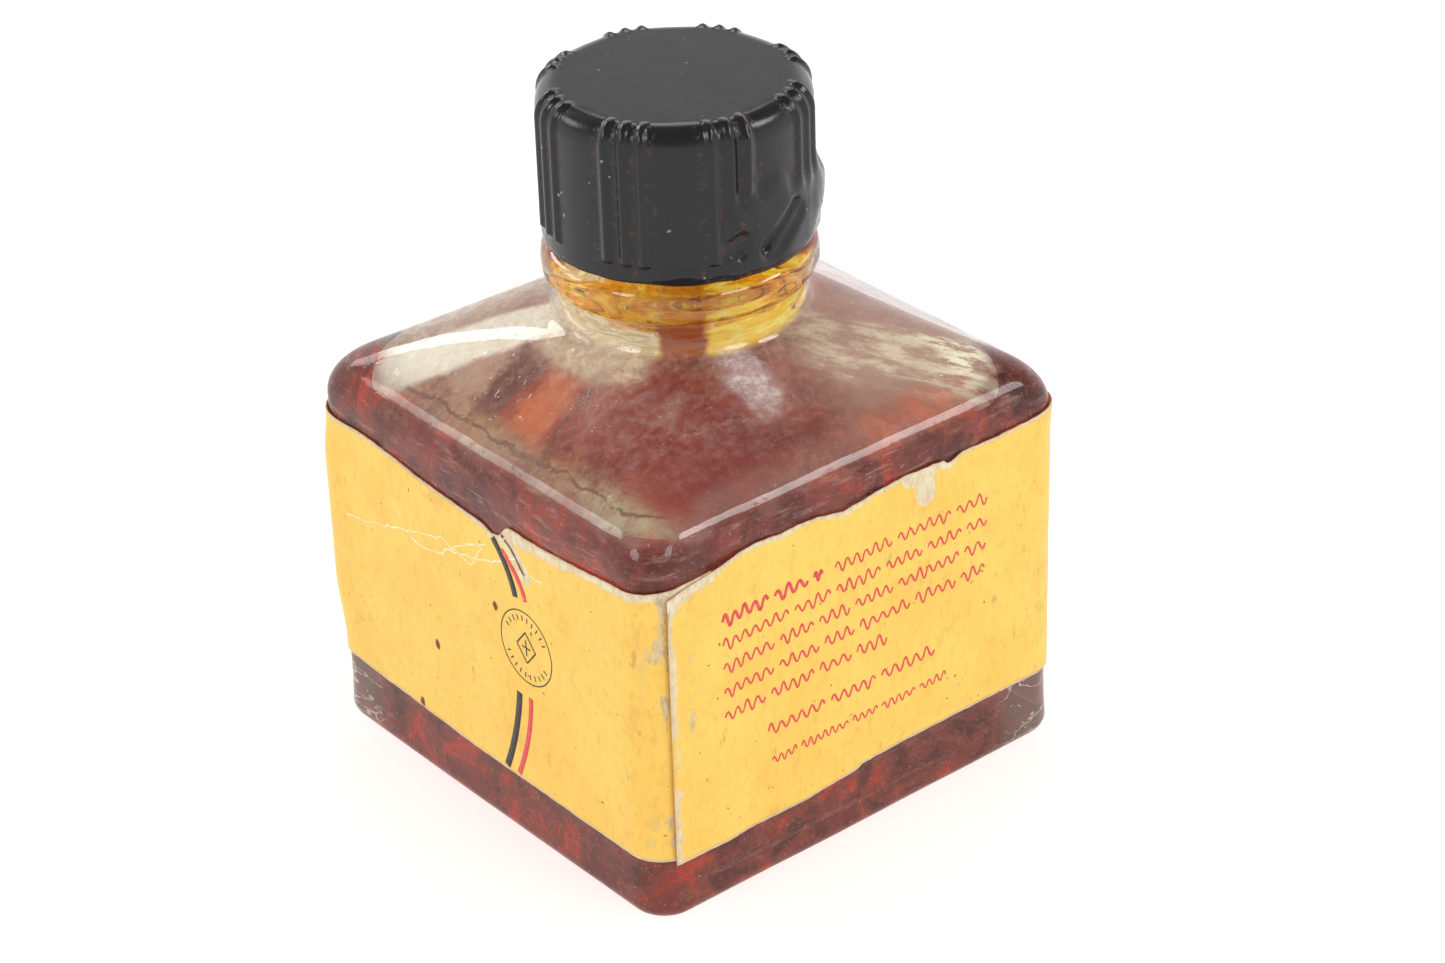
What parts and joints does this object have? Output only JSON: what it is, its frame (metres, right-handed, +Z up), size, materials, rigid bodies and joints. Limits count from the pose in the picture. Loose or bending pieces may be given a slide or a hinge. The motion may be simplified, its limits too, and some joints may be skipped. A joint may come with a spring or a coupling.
{
  "type": "square screw-cap glass bottle with cap brush",
  "caption": "Small square glass bottle of dark liquid with sloping shoulders, a wrapped paper label and a ribbed screw cap that carries a brush on a stem.",
  "frame": {"origin": "centre of the base, on the surface the bottle stands on", "axes": "+Z up along the neck and cap axis; the printed front label panel faces -Y, the striped panel faces -X"},
  "size_m": [0.0414, 0.0416, 0.0562],
  "materials": {
    "clear_glass": "clear pressed soda-lime glass, polished",
    "dried_cement": "dark red-brown thickened liquid, glossy",
    "yellow_paper": "coated yellow label paper, worn and torn at its edges",
    "black_phenolic": "moulded black phenolic, glossy, with dried residue",
    "liner_pulp": "pressed pulp board, matt",
    "liner_foil": "dull foil facing",
    "stem_steel": "plain wire stem, stained by the liquid",
    "ferrule_metal": "crimped thin metal tube, dulled",
    "brush_hair": "dark natural bristle, stuck together at the tip"
  },
  "bodies": {
    "bottle": {"glass_bottle": "clear_glass", "cement_fill": "dried_cement", "label_wrap": "yellow_paper"},
    "liner": {"cap_liner": "liner_pulp", "liner_facing": "liner_foil"},
    "cap": {"cap_shell": "black_phenolic", "brush_stem": "stem_steel", "brush_ferrule": "ferrule_metal", "brush_bristles": "brush_hair"}
  },
  "joints": [
    {"name": "cap_rise", "type": "slide", "parent": "bottle", "child": "liner", "axis": [0, 0, 1], "range_m": [0, 0.054]},
    {"name": "cap_turn", "type": "hinge", "parent": "liner", "child": "cap", "pos_m": [0, 0, 0.05], "axis": [0, 0, 1], "range_deg": [0, 6120]}
  ],
  "couplings": [
    {"joint": "cap_rise", "follows": "cap_turn", "m_per_rad": 0.00050532}
  ]
}
